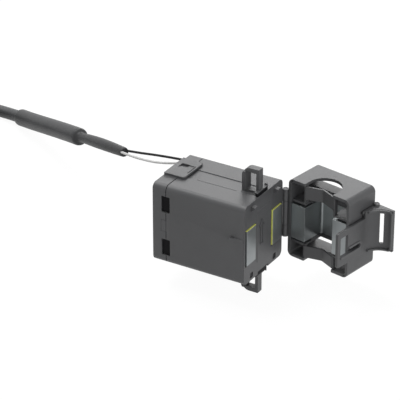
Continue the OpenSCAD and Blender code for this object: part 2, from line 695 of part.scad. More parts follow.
// Fills the corner between the curved tab, the side of the jaw and its rear edge
module web_plan()
    difference() {
        translate([tab_x, lever_y - tab_r]) square([tab_r + lever_t / 2, tab_r + lever_t / 2]);
        translate([tab_x, lever_y - tab_r]) circle(tab_r, $fn = 128);
    }
module latch_lever() color("#4a4b4e") on_jaw() {
    x0 = lever_bar - lever_reach;
    slot_z = (lever_slot_h - lever_window_h) / 2;
    slot_x = lever_slot_end - lever_slot_h / 2;
    difference() {
        union() {
            along_z(-lever_down, lever_up) lever_plan();
            intersection() {
                along_z(-lever_down, tab_up) lever_plan();
                block(tab_x + 1, jaw_depth * 2, -body_w, 0, -body_h, body_h);
            }
            along_z(-lever_down, web_t - lever_down) web_plan();
            along_z(tab_up - web_t, tab_up) web_plan();
            translate([latch_pin_x, latch_pin_y, tab_up - e]) cylinder(h = 1, d = knuckle_d);
        }
        block(x0, x0 + lever_window_len, -body_w, 0, -lever_window_h / 2, lever_window_h / 2);
        block(x0 + 1, slot_x, -body_w, 0, slot_z - lever_slot_h / 2, slot_z + lever_slot_h / 2);
        translate([slot_x, 0, slot_z]) rotate([90, 0, 0]) cylinder(h = body_w, d = lever_slot_h);
        translate([tab_x, lever_y - tab_r, (tab_up - lever_down) / 2 + 0.7]) rotate([0, 0, 33])
            block(0, 2 * tab_r, -tab_slot_w / 2, tab_slot_w / 2, -tab_slot_h / 2, tab_slot_h / 2);
        latch_pin_bore(latch_pin_d / 2 + pin_fit);
    }
}

// Leads
module lead_wire(way) {
    inner = [for (x = [post_x, post_x - 3]) [x, way[0][1], wire_z]];
    even_tube(smooth(concat(inner, way), 2), wire_d, 8);
}
module black_lead_wire() color("#1c1c1e") lead_wire(black_way);
module white_lead_wire() color("#e6e6e2") lead_wire(white_way);
module heat_shrink_sleeve() color("#8d8f92")
    tube(sleeve_way, sleeve_r, 12);
module lead_cable() color("#2b2c2e")
    even_tube(smooth(cable_way, 2), cable_d, 12);
module cable_coil() color("#2b2c2e")
    translate([coil_x, coil_y, coil_z]) rotate_extrude($fn = 96)
        for (x = [coil_inner_r, coil_outer_r], z = [-cable_d / 2, cable_d / 2])
            translate([x, z]) circle(d = cable_d + 0.04, $fn = 24);
module coil_tie() color("#1c1c1e")
    translate([coil_x - (coil_inner_r + coil_outer_r) / 2, coil_y, coil_z])
        along_y(-tie_w / 2, tie_w / 2) difference() {
            square(2 * cable_d + 2 * tie_t, center = true);
            square(2 * cable_d + 2 * fit, center = true);
        }
module cable_tail() color("#2b2c2e")
    even_tube(smooth(tail_way, 2), cable_d, 12);
module wire_end(s) {
    start = tail_end + [0, s * 1.4, -0.4];
    stop = [start[0] + wire_end_len, start[1] + s * 4, floor_z + ferrule_d / 2];
    mid = (start + stop) / 2 + [0, 0, -0.8];
    even_tube(smooth([start, mid, stop], 3), wire_d, 8);
    translate(stop) rotate([0, 90, 0]) cylinder(h = ferrule_len, d = ferrule_d);
}
module black_wire_end() color("#1c1c1e") wire_end(1);
module white_wire_end() color("#e6e6e2") wire_end(-1);

main_housing();
rear_cover();
long_core_half();
latch_leg_liner();
hinge_leg_liner();
bobbin();
winding();
winding_wrap();
foam_pad();
terminal_board();
terminal_posts();
wire_clamp();
hinge_pin();
jaw_shell();
core_carrier();
short_core_half();
core_spring();
upper_retaining_band();
lower_retaining_band();
latch_pin();
latch_lever();
black_lead_wire();
white_lead_wire();
heat_shrink_sleeve();
lead_cable();
cable_coil();
coil_tie();
cable_tail();
black_wire_end();
white_wire_end();
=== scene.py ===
import math

import bmesh
import bpy
from bpy.props import FloatProperty, FloatVectorProperty, IntProperty, PointerProperty
from mathutils import Matrix, Vector, noise


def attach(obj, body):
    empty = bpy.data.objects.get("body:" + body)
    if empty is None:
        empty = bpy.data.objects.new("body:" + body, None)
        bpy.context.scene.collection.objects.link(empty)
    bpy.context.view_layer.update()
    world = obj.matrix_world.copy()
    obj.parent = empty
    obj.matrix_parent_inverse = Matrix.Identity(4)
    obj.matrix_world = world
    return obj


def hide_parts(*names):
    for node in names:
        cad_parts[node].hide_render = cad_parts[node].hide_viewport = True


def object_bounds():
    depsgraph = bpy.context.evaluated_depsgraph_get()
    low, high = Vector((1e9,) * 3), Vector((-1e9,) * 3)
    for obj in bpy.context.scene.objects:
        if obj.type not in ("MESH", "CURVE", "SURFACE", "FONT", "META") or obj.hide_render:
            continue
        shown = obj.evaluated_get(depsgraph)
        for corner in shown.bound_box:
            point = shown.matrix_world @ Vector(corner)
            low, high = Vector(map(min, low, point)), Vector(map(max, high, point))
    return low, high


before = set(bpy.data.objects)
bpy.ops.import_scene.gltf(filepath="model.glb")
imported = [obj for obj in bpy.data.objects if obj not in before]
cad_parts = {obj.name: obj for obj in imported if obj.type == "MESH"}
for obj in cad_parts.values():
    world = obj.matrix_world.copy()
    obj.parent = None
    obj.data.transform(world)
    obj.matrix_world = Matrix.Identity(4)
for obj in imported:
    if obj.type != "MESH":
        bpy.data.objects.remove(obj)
CAD_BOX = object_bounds()

bl_info = {
    "name": "Split-core current transformer",
    "version": (1, 0, 0),
    "blender": (4, 5, 0),
    "location": "View3D > Sidebar > Transformer",
    "description": "Finishes for a clip-on current transformer with an open jaw and coiled leads",
    "category": "Object",
}

MM = 0.001


# ---------------------------------------------------------------- values that a user would change

class TransformerSizes(bpy.types.PropertyGroup):
    """Sizes of the finished pieces"""

    thin_edge: FloatProperty(
        name="Thin edge", description="Rounding along the edges of thin plastic and sheet steel",
        default=0.15 * MM, min=0.02 * MM, max=0.4 * MM, precision=5, unit="LENGTH")
    grain: FloatProperty(
        name="Grain", description="Size of the fine grain that the mould leaves on the plastic",
        default=0.35 * MM, min=0.1 * MM, max=1 * MM, precision=5, unit="LENGTH")
    lamination: FloatProperty(
        name="Lamination", description="Thickness of one sheet of the core's steel",
        default=0.5 * MM, min=0.2 * MM, max=1 * MM, precision=5, unit="LENGTH")
    wire_d: FloatProperty(
        name="Lead wire diameter", description="Diameter over the insulation of each lead wire",
        default=1.3 * MM, min=1 * MM, max=1.6 * MM, precision=5, unit="LENGTH")
    wire_length: FloatProperty(
        name="Lead wire length",
        description="Length of each lead wire from its posts into the sleeve",
        default=0.058, min=0.05, max=0.08, precision=4, unit="LENGTH")
    cable_d: FloatProperty(
        name="Cable diameter", description="Diameter over the sheath of the cable",
        default=7 * MM, min=6 * MM, max=7.4 * MM, precision=5, unit="LENGTH")
    cable_length: FloatProperty(
        name="Cable length", description="Length of the sheathed cable, most of it in the coil",
        default=0.87, min=0.5, max=1.2, precision=4, unit="LENGTH")
    coil_steps: IntProperty(
        name="Points in a turn", description="Points of the cable's line in each turn of the coil",
        default=24, min=12, max=48)


class TransformerColours(bpy.types.PropertyGroup):
    """Base colours of the finishes"""

    plastic: FloatVectorProperty(
        name="Grey plastic", description="Moulded housing, cover, jaw and lever",
        subtype="COLOR", default=(0.078, 0.079, 0.082), min=0, max=1)
    carrier: FloatVectorProperty(
        name="Jaw insert", description="Moulded insert that carries the short core",
        subtype="COLOR", default=(0.072, 0.073, 0.076), min=0, max=1)
    steel: FloatVectorProperty(
        name="Core steel", description="Ground silicon steel of the core",
        subtype="COLOR", default=(0.285, 0.305, 0.31), min=0, max=1)
    film: FloatVectorProperty(
        name="Yellow film", description="Polyester film round the core legs",
        subtype="COLOR", default=(0.93, 0.95, 0.22), min=0, max=1)
    black: FloatVectorProperty(
        name="Black plastic", description="Bobbin, clamp, tie and the black lead's insulation",
        subtype="COLOR", default=(0.012, 0.012, 0.013), min=0, max=1)
    copper: FloatVectorProperty(
        name="Enamelled copper", description="Wire of the winding",
        subtype="COLOR", default=(0.55, 0.20, 0.08), min=0, max=1)
    board: FloatVectorProperty(
        name="Circuit board", description="Glass laminate of the terminal board",
        subtype="COLOR", default=(0.02, 0.13, 0.06), min=0, max=1)
    bright: FloatVectorProperty(
        name="Tinned metal", description="Posts and ferrules",
        subtype="COLOR", default=(0.62, 0.62, 0.61), min=0, max=1)
    pins: FloatVectorProperty(
        name="Pin steel", description="Dark steel of the hinge pin, the latch pin and the spring",
        subtype="COLOR", default=(0.10, 0.10, 0.105), min=0, max=1)
    white: FloatVectorProperty(
        name="White insulation", description="Insulation of the white lead",
        subtype="COLOR", default=(0.74, 0.74, 0.73), min=0, max=1)
    sleeve: FloatVectorProperty(
        name="Grey sleeve", description="Shrink sleeve over the joint of the leads",
        subtype="COLOR", default=(0.046, 0.047, 0.049), min=0, max=1)
    sheath: FloatVectorProperty(
        name="Cable sheath", description="Outer sheath of the coiled cable",
        subtype="COLOR", default=(0.060, 0.062, 0.065), min=0, max=1)


def sizes():
    return bpy.context.scene.transformer_sizes


def colours():
    return bpy.context.scene.transformer_colours


# ---------------------------------------------------------------- finishes

def new_material(name, colour, metallic=0.0, coat=0.0):
    """A material with its node tree and its main shader. The colour is what a plain view shows."""
    material = bpy.data.materials.new(name)
    material.use_nodes = True
    material.diffuse_color = (*colour, 1)
    tree = material.node_tree
    shader = tree.nodes["Principled BSDF"]
    shader.inputs["Metallic"].default_value = metallic
    shader.inputs["Coat Weight"].default_value = coat
    return material, tree, shader


def place(tree, stretch=(1, 1, 1)):
    """The point on the piece, in metres, stretched along some axes."""
    here = tree.nodes.new("ShaderNodeTexCoord")
    scale = tree.nodes.new("ShaderNodeMapping")
    scale.inputs["Scale"].default_value = stretch
    tree.links.new(here.outputs["Object"], scale.inputs["Vector"])
    return scale.outputs["Vector"]


def mottle(tree, size, detail, stretch=(1, 1, 1)):
    """Soft random spots about size metres across, the finer the more detail they have."""
    spots = tree.nodes.new("ShaderNodeTexNoise")
    spots.inputs["Scale"].default_value = 1 / size
    spots.inputs["Detail"].default_value = detail
    tree.links.new(place(tree, stretch), spots.inputs["Vector"])
    return spots.outputs["Fac"]


def bands(tree, pitch, axis="Z", waver=0.0):
    """Even bands, pitch metres apart along an axis."""
    wave = tree.nodes.new("ShaderNodeTexWave")
    wave.wave_type = "BANDS"
    wave.bands_direction = axis
    wave.inputs["Scale"].default_value = math.pi / (10 * pitch)
    wave.inputs["Distortion"].default_value = waver
    tree.links.new(place(tree), wave.inputs["Vector"])
    return wave.outputs["Fac"]


def remap(tree, value, low, high, start=0.3, end=0.7):
    """A value that runs from low to high while another runs from start to end."""
    step = tree.nodes.new("ShaderNodeMapRange")
    for socket, number in (("From Min", start), ("From Max", end),
                           ("To Min", low), ("To Max", high)):
        step.inputs[socket].default_value = number
    tree.links.new(value, step.inputs["Value"])
    return step.outputs["Result"]


def shade(colour, factor):
    """The colour made lighter or darker."""
    return tuple(min(1.0, c * factor) for c in colour)


# The Mix node's colour sockets, which share their names with those for numbers and vectors
MIX_FIRST, MIX_SECOND, MIX_RESULT = 6, 7, 2


def mix(tree, share, first, second):
    """A colour between two, each a colour or another node's output."""
    node = tree.nodes.new("ShaderNodeMix")
    node.data_type = "RGBA"
    tree.links.new(share, node.inputs["Factor"])
    for socket, colour in ((MIX_FIRST, first), (MIX_SECOND, second)):
        if isinstance(colour, tuple):
            node.inputs[socket].default_value = (*colour, 1)
        else:
            tree.links.new(colour, node.inputs[socket])
    return node.outputs[MIX_RESULT]


# How pointed the surface is where the rubbed tone begins and where it is full; 0.5 is flat
RUB_START, RUB_FULL = 0.505, 0.56


def rubbed(tree, colour, lighter, amount):
    """A lighter tone along the outer edges, where hands and tools rub."""
    shape = tree.nodes.new("ShaderNodeNewGeometry")
    share = remap(tree, shape.outputs["Pointiness"], 0, amount, RUB_START, RUB_FULL)
    return mix(tree, share, colour, lighter)


def relief(tree, shader, heights):
    """Bumps of the surface: (height output, depth in metres, strength) one after another."""
    last = None
    for height, depth, strength in heights:
        bump = tree.nodes.new("ShaderNodeBump")
        bump.inputs["Distance"].default_value = depth
        bump.inputs["Strength"].default_value = strength
        tree.links.new(height, bump.inputs["Height"])
        if last:
            tree.links.new(last, bump.inputs["Normal"])
        last = bump.outputs["Normal"]
    tree.links.new(last, shader.inputs["Normal"])


def moulded(name, colour, rough=(0.40, 0.54), drift=0.07, rub=0.35, depth=0.02, shine=0.5):
    """Moulded plastic with a fine grain, a slow drift of tone and rubbed edges."""
    material, tree, shader = new_material(name, colour)
    shader.inputs["Specular IOR Level"].default_value = shine
    grain = mottle(tree, sizes().grain, 3)
    slow = remap(tree, mottle(tree, 14 * MM, 3), 0, 1)
    tone = mix(tree, slow, shade(colour, 1 - drift), shade(colour, 1 + drift))
    tone = mix(tree, remap(tree, grain, 0, 0.25), tone, shade(colour, 0.85))
    tree.links.new(rubbed(tree, tone, shade(colour, 1.5), rub), shader.inputs["Base Color"])
    tree.links.new(remap(tree, grain, *rough), shader.inputs["Roughness"])
    relief(tree, shader, [(grain, depth * MM, 0.35), (slow, 0.06 * MM, 0.1)])
    return material


def laminated_steel(name, colour):
    """Ground faces of stacked sheets: fine lines of the sheets and scratches from the grinding."""
    material, tree, shader = new_material(name, colour, metallic=0.8)
    sheets = bands(tree, sizes().lamination, "Z", 0.4)
    scratches = mottle(tree, 0.25 * MM, 3, (1, 0.05, 1))
    slow = remap(tree, mottle(tree, 9 * MM, 3), 0, 1)
    tone = mix(tree, slow, shade(colour, 0.92), shade(colour, 1.06))
    tone = mix(tree, remap(tree, sheets, 0.22, 0, 0.0, 0.25), tone, shade(colour, 0.55))
    tree.links.new(tone, shader.inputs["Base Color"])
    tree.links.new(remap(tree, scratches, 0.30, 0.42), shader.inputs["Roughness"])
    relief(tree, shader, [(sheets, 0.008 * MM, 0.3), (scratches, 0.006 * MM, 0.3)])
    return material


def brushed_metal(name, colour, stretch=(1, 1, 0.05)):
    """Drawn or tinned metal with fine lines along its length."""
    material, tree, shader = new_material(name, colour, metallic=1.0)
    lines = mottle(tree, 0.08 * MM, 2, stretch)
    tone = mix(tree, remap(tree, lines, 0, 1), shade(colour, 0.85), shade(colour, 1.08))
    tree.links.new(tone, shader.inputs["Base Color"])
    tree.links.new(remap(tree, lines, 0.24, 0.38), shader.inputs["Roughness"])
    relief(tree, shader, [(lines, 0.005 * MM, 0.3)])
    return material


def film(name, colour):
    """Polyester film, with faint creases where it is folded round a leg."""
    material, tree, shader = new_material(name, colour, coat=0.2)
    crease = mottle(tree, 1.2 * MM, 3, (1, 1, 0.3))
    tone = mix(tree, remap(tree, crease, 0, 1), shade(colour, 0.88), shade(colour, 1.05))
    tree.links.new(tone, shader.inputs["Base Color"])
    tree.links.new(remap(tree, crease, 0.25, 0.4), shader.inputs["Roughness"])
    relief(tree, shader, [(crease, 0.03 * MM, 0.3)])
    return material


def wound_wire(name, colour):
    """Layers of enamelled wire, side by side along the yoke, with painted shade in the grooves
    between the turns.
    """
    material, tree, shader = new_material(name, colour, metallic=0.8, coat=0.5)
    turns = bands(tree, 0.4 * MM, "Y", 0.6)
    # Painted shade: the copper is darkest in the grooves between the turns, with a faint painted
    # highlight on their crowns
    tone = mix(tree, remap(tree, turns, 0, 1, 0.1, 0.6), shade(colour, 0.35), shade(colour, 1.1))
    tree.links.new(tone, shader.inputs["Base Color"])
    tree.links.new(remap(tree, turns, 0.4, 0.26, 0, 1), shader.inputs["Roughness"])
    relief(tree, shader, [(turns, 0.15 * MM, 0.7)])
    return material


def foam(name, colour):
    """Closed-cell foam, with painted shade in the hollow of each cell."""
    material, tree, shader = new_material(name, colour)
    shader.inputs["Specular IOR Level"].default_value = 0.1
    cells = tree.nodes.new("ShaderNodeTexVoronoi")
    cells.inputs["Scale"].default_value = 1 / (0.45 * MM)
    tree.links.new(place(tree), cells.inputs["Vector"])
    # Painted shade: each cell is darkest in its hollow and lightest at its walls
    tone = mix(tree, remap(tree, cells.outputs["Distance"], 0, 1, 0, 0.6),
               shade(colour, 0.5), shade(colour, 1.6))
    tree.links.new(tone, shader.inputs["Base Color"])
    tree.links.new(remap(tree, cells.outputs["Distance"], 0.85, 0.98, 0, 0.6),
                   shader.inputs["Roughness"])
    relief(tree, shader, [(cells.outputs["Distance"], 0.15 * MM, 0.6)])
    return material


def laminate(name, colour):
    """Glass laminate under solder mask, with its weave just showing."""
    material, tree, shader = new_material(name, colour, coat=0.3)
    warp, weft = bands(tree, 0.5 * MM, "X"), bands(tree, 0.5 * MM, "Y")
    tone = mix(tree, remap(tree, warp, 0, 1, 0, 1), shade(colour, 0.8), shade(colour, 1.15))
    tone = mix(tree, remap(tree, weft, 0, 0.3, 0, 1), tone, shade(colour, 1.4))
    tree.links.new(tone, shader.inputs["Base Color"])
    tree.links.new(remap(tree, warp, 0.3, 0.4, 0, 1), shader.inputs["Roughness"])
    relief(tree, shader, [(warp, 0.01 * MM, 0.3), (weft, 0.01 * MM, 0.3)])
    return material


def sheath(name, colour, rough=(0.42, 0.56), shine=0.5):
    """Extruded sheath or shrunk sleeve: matt, with a soft bloom and small dents."""
    material, tree, shader = new_material(name, colour)
    shader.inputs["Specular IOR Level"].default_value = shine
    grain = mottle(tree, 0.25 * MM, 3)
    bloom = remap(tree, mottle(tree, 5 * MM, 4), 0, 1)
    tone = mix(tree, bloom, shade(colour, 0.88), shade(colour, 1.12))
    tone = mix(tree, remap(tree, grain, 0, 0.3), tone, shade(colour, 0.8))
    tree.links.new(rubbed(tree, tone, shade(colour, 1.4), 0.3), shader.inputs["Base Color"])
    tree.links.new(remap(tree, grain, *rough), shader.inputs["Roughness"])
    relief(tree, shader, [(grain, 0.015 * MM, 0.35), (bloom, 0.12 * MM, 0.2)])
    return material


FINISHES = {
    "grey_plastic": lambda: moulded("Grey plastic", tuple(colours().plastic)),
    "lever_plastic": lambda: moulded("Lever plastic", tuple(colours().plastic), rub=0.0),
    "jaw_insert": lambda: moulded("Jaw insert", tuple(colours().carrier)),
    "core_steel": lambda: laminated_steel("Core steel", tuple(colours().steel)),
    "yellow_film": lambda: film("Yellow film", tuple(colours().film)),
    # Matt black, also for the ears and blocks that paint the deep shade in the side windows and in
    # the gaps behind the front's edges
    "black_plastic": lambda: moulded("Black plastic", tuple(colours().black), rub=0.15,
                                     shine=0.05),
    "copper_winding": lambda: wound_wire("Enamelled copper", tuple(colours().copper)),
    "black_foam": lambda: foam("Black foam", tuple(colours().black)),
    "board": lambda: laminate("Circuit board", tuple(colours().board)),
    "tinned_metal": lambda: brushed_metal("Tinned metal", tuple(colours().bright),
                                          stretch=(0.05, 1, 1)),
    "pin_steel": lambda: brushed_metal("Pin steel", tuple(colours().pins)),
    "black_insulation": lambda: sheath("Black insulation", tuple(colours().black), (0.5, 0.6),
                                       shine=0.2),
    "white_insulation": lambda: sheath("White insulation", tuple(colours().white), (0.34, 0.46)),
    "grey_sleeve": lambda: sheath("Grey sleeve", tuple(colours().sleeve), shine=0.35),
    "cable_sheath": lambda: sheath("Cable sheath", tuple(colours().sheath)),
}
MADE = {}


def finish(name):
    """The material of a finish, made the first time that a piece asks for it."""
    if name not in MADE:
        MADE[name] = FINISHES[name]()
    return MADE[name]


# ---------------------------------------------------------------- making pieces

# Points closer than this are one point
WELD = 0.002 * MM
EDGE_SEGMENTS = 2
# Edges that turn by more than this are rounded
EDGE_ANGLE = math.radians(32)
# Rounding along the edges of the smallest details and of turned pins
FINE_EDGE = 0.1 * MM


def add_piece(name, data, body, slot, material=None):
    """A new piece that rides on a body and takes its finish from a slot of the record."""
    piece = bpy.data.objects.new(name, data)
    bpy.context.scene.collection.objects.link(piece)
    data.materials.clear()
    data.materials.append(finish(material or slot))
    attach(piece, body)
    return piece


def round_edges(piece, width):
    """Small roundings along the piece's sharp edges, with even shading beside them."""
    bevel = piece.modifiers.new("Rounded edges", "BEVEL")
    bevel.width = width
    bevel.segments = EDGE_SEGMENTS
    bevel.limit_method = "ANGLE"
    bevel.angle_limit = EDGE_ANGLE
    bevel.use_clamp_overlap = False
    shading = piece.modifiers.new("Even shading", "WEIGHTED_NORMAL")
    shading.keep_sharp = True
    return piece


def to_mesh(name, bm):
    """Keeps a bmesh as a mesh, and frees it."""
    mesh = bpy.data.meshes.new(name)
    bm.to_mesh(mesh)
    bm.free()
    return mesh


def smooth_mesh(name, source):
    """A smooth copy of a mesh, with its doubled points joined and its spare layers taken off."""
    bm = bmesh.new()
    bm.from_mesh(source)
    bmesh.ops.remove_doubles(bm, verts=bm.verts, dist=WELD)
    for face in bm.faces:
        face.smooth = True
    mesh = to_mesh(name, bm)
    for spare in ("custom_normal", "UVMap"):
        if spare in mesh.attributes:
            mesh.attributes.remove(mesh.attributes[spare])
    return mesh


def box_mesh(name, low, high):
    """A box between two corners."""
    bm = bmesh.new()
    bmesh.ops.create_cube(bm, size=1)
    bmesh.ops.scale(bm, verts=bm.verts, vec=high - low)
    bmesh.ops.translate(bm, verts=bm.verts, vec=(low + high) / 2)
    return to_mesh(name, bm)


def cut_box(stock_mesh, low, high):
    """A new mesh, which is the stock with a box taken out of it."""
    tool = bpy.data.objects.new("cut", box_mesh("cut", low, high))
    stock = bpy.data.objects.new("stock", stock_mesh)
    for thing in (tool, stock):
        bpy.context.scene.collection.objects.link(thing)
    cut = stock.modifiers.new("Cut", "BOOLEAN")
    cut.operation = "DIFFERENCE"
    cut.solver = "EXACT"
    cut.object = tool
    bpy.context.view_layer.update()
    result = bpy.data.meshes.new_from_object(
        stock.evaluated_get(bpy.context.evaluated_depsgraph_get()))
    for thing in (tool, stock):
        bpy.data.objects.remove(thing)
    return result


def rounded_copy(cad_node, name, body, slot, width, material=None, cuts=()):
    """The solid again, with the small roundings that a mould or a press leaves on its edges.

    cuts are boxes in millimetres that are taken out of it."""
    if cad_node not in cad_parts:
        raise RuntimeError(f"the frame has no node {cad_node}")
    mesh = smooth_mesh(name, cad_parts[cad_node].data)
    for low, high in cuts:
        mesh = cut_box(mesh, *metres([low, high]))
    mesh.name = name
    piece = round_edges(add_piece(name, mesh, body, slot, material), width)
    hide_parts(cad_node)
    return piece


def dress(cad_node, material):
    """A better finish on a solid that stays as it is."""
    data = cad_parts[cad_node].data
    data.materials.clear()
    data.materials.append(finish(material))


def metres(points):
    """Points in millimetres as vectors in metres."""
    return [Vector(p) * MM for p in points]


def smooth_line(points, steps):
    """A smooth line through every point."""
    last = len(points) - 1
    line = []
    for i in range(last):
        a, b, c, d = (points[max(0, min(last, i + k))] for k in (-1, 0, 1, 2))
        for k in range(steps):
            t = k / steps
            line.append(0.5 * (2 * b + (c - a) * t + (2 * a - 5 * b + 4 * c - d) * t * t
                               + (3 * b - a - 3 * c + d) * t ** 3))
    return line + [points[last]]


def round_cord(name, line, diameter, body, slot, resolution=5):
    """A cord along a line, as a curve with a round section."""
    data = bpy.data.curves.new(name, "CURVE")
    data.dimensions = "3D"
    data.bevel_depth = diameter / 2
    data.bevel_resolution = resolution
    data.use_fill_caps = True
    spline = data.splines.new("POLY")
    spline.points.add(len(line) - 1)
    for point, spot in zip(spline.points, line):
        point.co = (*spot, 1)
    spline.use_smooth = True
    return add_piece(name, data, body, slot)


def arc(centre, radius, start, stop, steps=6):
    """Points on an arc from one angle to another, in degrees."""
    turns = [math.radians(start + (stop - start) * k / steps) for k in range(steps + 1)]
    return [(centre[0] + radius * math.cos(t), centre[1] + radius * math.sin(t)) for t in turns]


def skin(bm, rings):
    """Joins rings of points into a closed tube with flat ends."""
    for first, second in zip(rings, rings[1:]):
        for k in range(len(first)):
            after = (k + 1) % len(first)
            bm.faces.new((first[k], first[after], second[after], second[k]))
    bm.faces.new(rings[0][::-1])
    bm.faces.new(rings[-1])
    bmesh.ops.recalc_face_normals(bm, faces=bm.faces)


def swept(name, line, profile, sides=48, ripple=None):
    """A round tube along a line, closed at its ends.

    profile gives (share of the line's length, radius), and ripple the share by which the radius
    differs at a share of the length and an angle."""
    lengths = [0.0]
    for a, b in zip(line, line[1:]):
        lengths.append(lengths[-1] + (b - a).length)
    bm = bmesh.new()
    rings = []
    for share, radius in profile:
        at = share * lengths[-1]
        i = max(0, min(len(line) - 2, sum(1 for s in lengths if s <= at) - 1))
        span = lengths[i + 1] - lengths[i]
        centre = line[i].lerp(line[i + 1], (at - lengths[i]) / span)
        along = (line[min(i + 2, len(line) - 1)] - line[max(i - 1, 0)]).normalized()
        side = Vector((0, 0, 1)).cross(along).normalized()
        up = along.cross(side)
        ring = []
        for k in range(sides):
            turn = 2 * math.pi * k / sides
            out = math.cos(turn) * side + math.sin(turn) * up
            r = radius * (1 + (ripple(share, turn) if ripple else 0))
            ring.append(bm.verts.new(centre + out * r))
        rings.append(ring)
    skin(bm, rings)
    for face in bm.faces:
        face.smooth = len(face.verts) == 4
    return to_mesh(name, bm)


# ---------------------------------------------------------------- camera and leads

AZIMUTH = math.radians(31.0)
ELEVATION = math.radians(28.1)
CAMERA_DISTANCE = 1.2
LENS, SENSOR = 216, 36
RIGHT = Vector((math.cos(AZIMUTH), math.sin(AZIMUTH), 0))
AWAY = Vector((-math.sin(AZIMUTH) * math.cos(ELEVATION),
               math.cos(AZIMUTH) * math.cos(ELEVATION), -math.sin(ELEVATION)))
UP = RIGHT.cross(AWAY)
# The point that the camera looks at
AIM = -32.3 * MM * RIGHT + 16.2 * MM * UP


class TRANSFORMER_OT_camera(bpy.types.Operator):
    """Set the camera in front of the mating face and the latch side"""

    bl_idname = "transformer.camera"
    bl_label = "Camera"

    def execute(self, context):
        data = bpy.data.cameras.new("Camera")
        data.lens = LENS
        data.sensor_width = SENSOR
        data.clip_end = 20
        camera = bpy.data.objects.new("Camera", data)
        context.scene.collection.objects.link(camera)
        turn = Matrix((RIGHT, UP, -AWAY)).transposed()
        camera.matrix_world = Matrix.Translation(AIM - CAMERA_DISTANCE * AWAY) @ turn.to_4x4()
        context.scene.camera = camera
        return {"FINISHED"}


# Ways of the leads in millimetres, from the posts to the bare ends
BLACK_WAY = metres([(-45.6, 14.65, 18.2), (-53.9, 14.65, 19.4), (-62, 15.3, 18.6),
                    (-75, 18.2, 15.7), (-86, 21.2, 12.7), (-99.4, 25.0, 9.2)])
WHITE_WAY = metres([(-45.6, 11.45, 18.2), (-53.9, 11.45, 19.4), (-59, 11.6, 18.2),
                    (-65, 11.8, 16.6), (-73.5, 13.2, 14.4), (-86, 16.6, 12),
                    (-100.6, 22.6, 9.2)])
SLEEVE_WAY = metres([(-97.6, 23.2, 9.2), (-114, 31, 5.5), (-128, 39, 1.2), (-144, 48.5, -4.2),
                     (-150, 52.4, -6.3), (-166, 63, -12.2), (-183, 74.2, -18.6),
                     (-200, 85.4, -25), (-214, 93.6, -29.4)])
CABLE_WAY = metres([(-214, 93.6, -29.4), (-226, 97.2, -31.2), (-244, 98, -31.5),
                    (-262, 98, -31.2)])
TAIL_Y = 19.5
TAIL_WAY = metres([(-264, 21, -23.6), (-254, 21, -24.0), (-244, 20.7, -27.2),
                   (-234, 20.2, -30.7), (-222, TAIL_Y, -31.5)])
COIL_CENTRE = Vector((-266, 59.5, 0)) * MM
COIL_INNER, COIL_OUTER = 31.5 * MM, 38.5 * MM
COIL_LOW, COIL_HIGH = -30.6 * MM, -23.6 * MM
# Angle in degrees, radius and height of the cable where each stretch of the coil meets the next
COIL_STATIONS = [(90, COIL_OUTER, COIL_LOW), (395, COIL_OUTER, COIL_LOW),
                 (445, COIL_INNER, COIL_LOW), (700, COIL_INNER, COIL_LOW),
                 (755, COIL_INNER, COIL_HIGH), (1005, COIL_INNER, COIL_HIGH),
                 (1060, COIL_OUTER, COIL_HIGH), (1350, COIL_OUTER, COIL_HIGH)]

SLEEVE_THIN, SLEEVE_THICK, SLEEVE_BELLY = 2.6 * MM, 4.85 * MM, 0.5 * MM
# Shares of the sleeve's length where its mouth, thin part, thick part and rear end lie
MOUTH, THIN_END, THICK_START, REAR = 0.006, 0.345, 0.385, 0.993
# The step between the two parts: share of the length, share of the rise
SHOULDER = [(0.352, 0.0), (0.358, 0.12), (0.361, 0.35), (0.363, 0.6), (0.366, 0.8),
            (0.370, 0.92), (0.376, 0.98), (0.384, 1.0)]
SLEEVE_RINGS = 60
FERRULE_R, FERRULE_LENGTH = 1 * MM, 7 * MM


def coil_line(steps):
    """The cable's line in the coil: two layers, each with an outer and an inner turn."""
    line = []
    for (a0, r0, z0), (a1, r1, z1) in zip(COIL_STATIONS, COIL_STATIONS[1:]):
        count = max(2, round((a1 - a0) * steps / 360))
        for k in range(count):
            t = k / count
            ease = t * t * (3 - 2 * t)
            turn = math.radians(a0 + (a1 - a0) * t)
            r, z = r0 + (r1 - r0) * ease, z0 + (z1 - z0) * ease
            line.append(COIL_CENTRE + Vector((r * math.cos(turn), r * math.sin(turn), z)))
    return line


def sleeve_profile():
    """The sleeve's radius along its length: thin round the two wires, a step, and a thick end."""
    rows = [(0.0, SLEEVE_THIN * 0.80), (0.002, SLEEVE_THIN * 0.93), (MOUTH, SLEEVE_THIN)]
    for k in range(1, SLEEVE_RINGS):
        share = MOUTH + (REAR - MOUTH) * k / SLEEVE_RINGS
        if share <= THIN_END:
            belly = SLEEVE_BELLY * math.sin(math.pi * share / SHOULDER[0][0])
            rows.append((share, SLEEVE_THIN + belly))
        elif share >= THICK_START:
            rows.append((share, SLEEVE_THICK))
    rows += [(share, SLEEVE_THIN + (SLEEVE_THICK - SLEEVE_THIN) * rise)
             for share, rise in SHOULDER]
    rows.sort()
    return rows + [(REAR, SLEEVE_THICK), (0.998, SLEEVE_THICK * 0.96), (1.0, SLEEVE_THICK * 0.88)]


def sleeve_ripple(share, turn):
    """Small dents where the sleeve has shrunk onto the wires and the solder joints under it."""
    dent, flute, step, reach = 0.010, 0.008, 0.37, 0.05
    spot = Vector((share * 34, 1.6 * math.cos(turn), 1.6 * math.sin(turn)))
    near_step = math.exp(-((share - step) / reach) ** 2)
    fluted = flute * near_step * math.cos(3 * turn + 9 * share)
    return dent * noise.noise(spot) + fluted - 0.002


